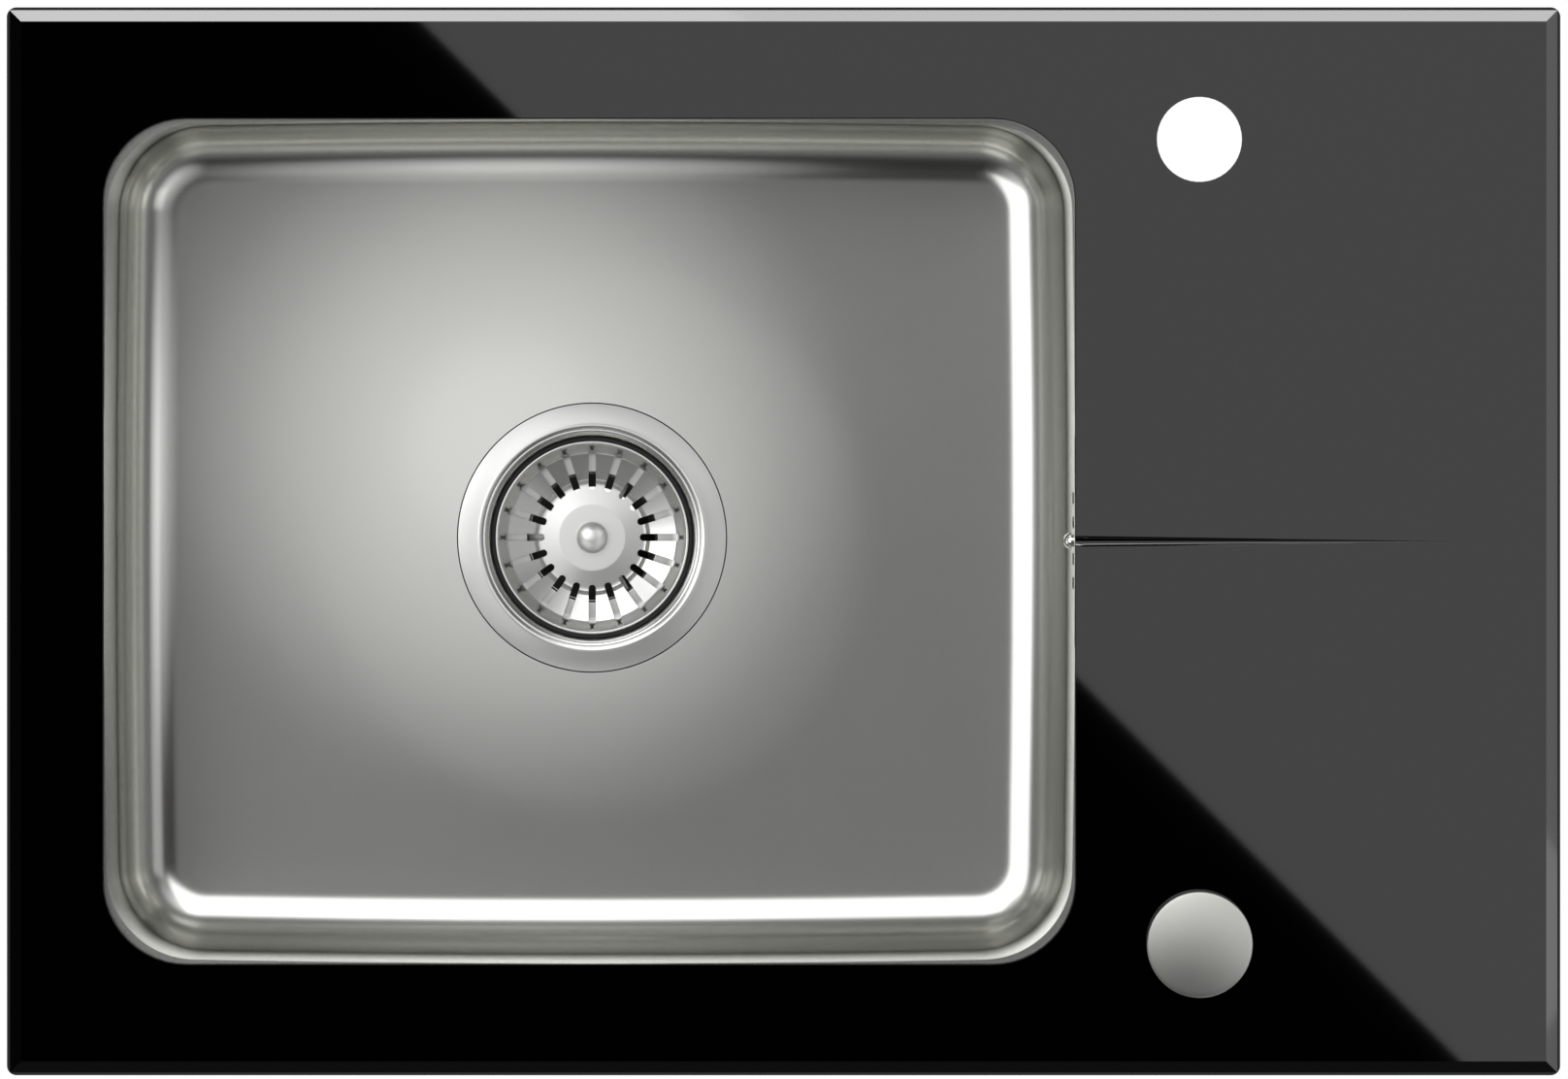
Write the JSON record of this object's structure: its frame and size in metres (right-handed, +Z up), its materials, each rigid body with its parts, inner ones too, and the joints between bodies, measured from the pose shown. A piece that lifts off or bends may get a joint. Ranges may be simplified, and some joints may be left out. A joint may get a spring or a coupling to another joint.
{
  "type": "kitchen sink",
  "caption": "Inset kitchen sink: black glass deck with a drainer side, pressed steel bowl, overflow, and a pop-up basket waste worked by a turning knob.",
  "frame": {"origin": "middle of the deck in plan, on the plane of the worktop's top face (underside of the deck's foam seal)", "axes": "+X from the bowl side to the drainer side, +Y to the back (tap hole side), +Z up"},
  "size_m": [0.64, 0.44, 0.318],
  "materials": {
    "deck_glass": "black back-painted toughened glass, polished edges",
    "bowl_steel": "fine satin pressed stainless steel",
    "polished_steel": "polished stainless steel",
    "knob_steel": "brushed stainless steel",
    "zinc_steel": "zinc-plated steel",
    "black_rubber": "moulded rubber",
    "pad_rubber": "damping sheet",
    "seal_foam": "closed-cell foam tape",
    "bond_silicone": "cured adhesive bead",
    "white_plastic": "moulded polypropylene",
    "grey_plastic": "moulded plastic"
  },
  "bodies": {
    "sink": {"glass_top": "deck_glass", "deck_seal": "seal_foam", "bond_seal": "bond_silicone", "bowl": "bowl_steel", "sound_pad": "pad_rubber", "overflow_screw": "polished_steel", "overflow_gasket": "black_rubber", "overflow_housing": "white_plastic", "overflow_pipe": "white_plastic", "waste_flange": "polished_steel", "flange_gasket": "black_rubber", "lower_gasket": "black_rubber", "waste_body": "white_plastic", "centre_bolt": "polished_steel", "lever_seal": "black_rubber", "lever_housing": "grey_plastic", "lever_cover": "grey_plastic", "cover_screws": "zinc_steel", "knob_sleeve": "grey_plastic", "knob_gasket": "black_rubber", "knob_washer": "black_rubber", "knob_lock_nut": "white_plastic", "drum_housing": "grey_plastic", "housing_lid": "grey_plastic", "clip_brackets": "zinc_steel"},
    "knob": {"control_knob": "knob_steel", "knob_screw": "zinc_steel", "knob_spindle": "zinc_steel", "cable_drum": "grey_plastic"},
    "lever": {"lift_lever": "grey_plastic", "crank_arm": "grey_plastic"},
    "pin": {"lift_pin": "polished_steel"},
    "basket": {"strainer_basket": "polished_steel", "basket_knob": "polished_steel", "basket_seal": "black_rubber"},
    "clip_screw_1": {"clip_screw_1": "zinc_steel"},
    "clip_claw_1": {"clip_claw_1": "zinc_steel"},
    "clip_screw_2": {"clip_screw_2": "zinc_steel"},
    "clip_claw_2": {"clip_claw_2": "zinc_steel"},
    "clip_screw_3": {"clip_screw_3": "zinc_steel"},
    "clip_claw_3": {"clip_claw_3": "zinc_steel"},
    "clip_screw_4": {"clip_screw_4": "zinc_steel"},
    "clip_claw_4": {"clip_claw_4": "zinc_steel"},
    "clip_screw_5": {"clip_screw_5": "zinc_steel"},
    "clip_claw_5": {"clip_claw_5": "zinc_steel"},
    "clip_screw_6": {"clip_screw_6": "zinc_steel"},
    "clip_claw_6": {"clip_claw_6": "zinc_steel"}
  },
  "joints": [
    {"name": "knob_turn", "type": "hinge", "parent": "sink", "child": "knob", "pos_m": [0.1713, -0.1656, 0.009], "axis": [0, 0, 1], "range_deg": [0, 90]},
    {"name": "lever_swing", "type": "hinge", "parent": "sink", "child": "lever", "pos_m": [-0.06106, 0, -0.2284], "axis": [0, 1, 0], "range_deg": [0, 36]},
    {"name": "pin_rise", "type": "slide", "parent": "sink", "child": "pin", "axis": [0, 0, 1], "range_m": [0, 0.012]},
    {"name": "basket_lift_out", "type": "slide", "parent": "pin", "child": "basket", "axis": [0, 0, 1], "range_m": [0, 0.23]},
    {"name": "clip_1_tighten", "type": "slide", "parent": "sink", "child": "clip_screw_1", "axis": [0, 0, 1], "range_m": [0, 0.024]},
    {"name": "claw_1_swing", "type": "hinge", "parent": "clip_screw_1", "child": "clip_claw_1", "pos_m": [-0.225, -0.201, -0.029], "axis": [0, 0, -1], "range_deg": [0, 90]},
    {"name": "clip_2_tighten", "type": "slide", "parent": "sink", "child": "clip_screw_2", "axis": [0, 0, 1], "range_m": [0, 0.024]},
    {"name": "claw_2_swing", "type": "hinge", "parent": "clip_screw_2", "child": "clip_claw_2", "pos_m": [0.065, -0.201, -0.029], "axis": [0, 0, -1], "range_deg": [0, 90]},
    {"name": "clip_3_tighten", "type": "slide", "parent": "sink", "child": "clip_screw_3", "axis": [0, 0, 1], "range_m": [0, 0.024]},
    {"name": "claw_3_swing", "type": "hinge", "parent": "clip_screw_3", "child": "clip_claw_3", "pos_m": [-0.225, 0.201, -0.029], "axis": [0, 0, -1], "range_deg": [0, 90]},
    {"name": "clip_4_tighten", "type": "slide", "parent": "sink", "child": "clip_screw_4", "axis": [0, 0, 1], "range_m": [0, 0.024]},
    {"name": "claw_4_swing", "type": "hinge", "parent": "clip_screw_4", "child": "clip_claw_4", "pos_m": [0.065, 0.201, -0.029], "axis": [0, 0, -1], "range_deg": [0, 90]},
    {"name": "clip_5_tighten", "type": "slide", "parent": "sink", "child": "clip_screw_5", "axis": [0, 0, 1], "range_m": [0, 0.024]},
    {"name": "claw_5_swing", "type": "hinge", "parent": "clip_screw_5", "child": "clip_claw_5", "pos_m": [-0.301, 0, -0.029], "axis": [0, 0, -1], "range_deg": [0, 90]},
    {"name": "clip_6_tighten", "type": "slide", "parent": "sink", "child": "clip_screw_6", "axis": [0, 0, 1], "range_m": [0, 0.024]},
    {"name": "claw_6_swing", "type": "hinge", "parent": "clip_screw_6", "child": "clip_claw_6", "pos_m": [0.301, 0, -0.029], "axis": [0, 0, -1], "range_deg": [0, 90]}
  ],
  "couplings": [
    {"joint": "lever_swing", "follows": "knob_turn", "ratio": 0.4},
    {"joint": "pin_rise", "follows": "knob_turn", "m_per_rad": 0.0076394}
  ]
}
